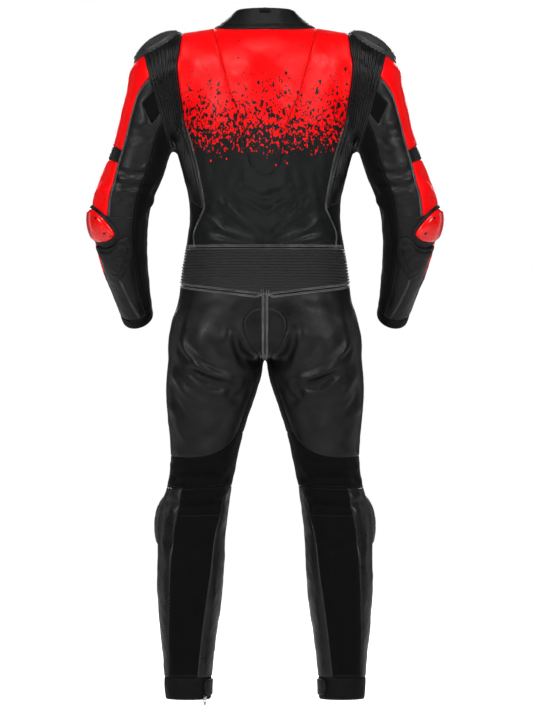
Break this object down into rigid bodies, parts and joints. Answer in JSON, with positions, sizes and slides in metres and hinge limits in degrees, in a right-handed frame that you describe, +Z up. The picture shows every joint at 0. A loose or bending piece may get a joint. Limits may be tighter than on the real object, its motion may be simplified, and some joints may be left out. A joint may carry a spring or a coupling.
{
  "type": "motorcycle race suit",
  "caption": "One-piece leather race suit in its filled-out shape, with hard shoulder, elbow and knee armour, open at neck, cuffs and hems.",
  "frame": {"origin": "on the middle line inside the neck, level with the collar seam", "axes": "+Z up, the suit's back towards +Y and its front towards -Y, the wearer's left towards +X"},
  "size_m": [0.768, 0.2888, 1.4809],
  "materials": {
    "black_leather": "satin cowhide with a fine grain",
    "red_leather": "satin cowhide, bright red fading into black specks",
    "stretch_cloth": "matte woven stretch cloth",
    "zip_tape": "matte zip tape",
    "black_armour": "dark moulded plastic",
    "red_armour": "glossy moulded plastic",
    "zip_metal": "bright cast zip metal"
  },
  "bodies": {
    "suit": {"back_hump": "red_leather", "back_panel": "red_leather", "accordion_L": "black_leather", "accordion_R": "black_leather", "side_L": "stretch_cloth", "side_R": "stretch_cloth", "front_L": "black_leather", "front_R": "black_leather", "front_zip": "zip_tape", "collar": "black_leather", "collar_loop": "stretch_cloth", "waistband": "black_leather", "seat_L": "black_leather", "seat_R": "black_leather", "thigh_front_L": "black_leather", "thigh_front_R": "black_leather", "crotch_gusset": "stretch_cloth", "knee_back_L": "stretch_cloth", "knee_back_R": "stretch_cloth", "calf_back_L": "stretch_cloth", "calf_back_R": "stretch_cloth", "shin_L": "black_leather", "shin_R": "black_leather", "hem_band_L": "black_leather", "hem_band_R": "black_leather", "seat_patch": "black_leather", "seat_strap": "black_leather", "knee_armour_L": "black_armour", "knee_armour_R": "black_armour", "hem_tab_L": "black_leather", "hem_tab_R": "black_leather", "sleeve_stripe_L": "red_leather", "sleeve_stripe_R": "red_leather", "sleeve_stripe_lower_L": "red_leather", "sleeve_stripe_lower_R": "red_leather", "sleeve_back_L": "black_leather", "sleeve_back_R": "black_leather", "sleeve_patch_L": "stretch_cloth", "sleeve_patch_R": "stretch_cloth", "sleeve_inner_L": "stretch_cloth", "sleeve_inner_R": "stretch_cloth", "forearm_stripe_L": "red_leather", "forearm_stripe_R": "red_leather", "forearm_back_L": "black_leather", "forearm_back_R": "black_leather", "cuff_L": "black_leather", "cuff_R": "black_leather", "shoulder_cup_L": "black_armour", "shoulder_cup_R": "black_armour", "elbow_base_L": "black_armour", "elbow_base_R": "black_armour", "elbow_cup_L": "red_armour", "elbow_cup_R": "red_armour", "forearm_pad_L": "black_leather", "forearm_pad_R": "black_leather", "front_zip_slider": "zip_metal", "ankle_zip_slider": "zip_metal"},
    "front_pull": {"front_zip_pull": "zip_metal"},
    "ankle_pull": {"ankle_zip_pull": "zip_metal"}
  },
  "joints": [
    {"name": "front_pull_hinge", "type": "hinge", "parent": "suit", "child": "front_pull", "pos_m": [0, -0.10895, -0.11056], "axis": [-1, 0, 0], "range_deg": [0, 130]},
    {"name": "ankle_pull_hinge", "type": "hinge", "parent": "suit", "child": "ankle_pull", "pos_m": [0.1275, 0.07211, -1.428], "axis": [0.7547, 0.6561, 0], "range_deg": [0, 120]}
  ]
}
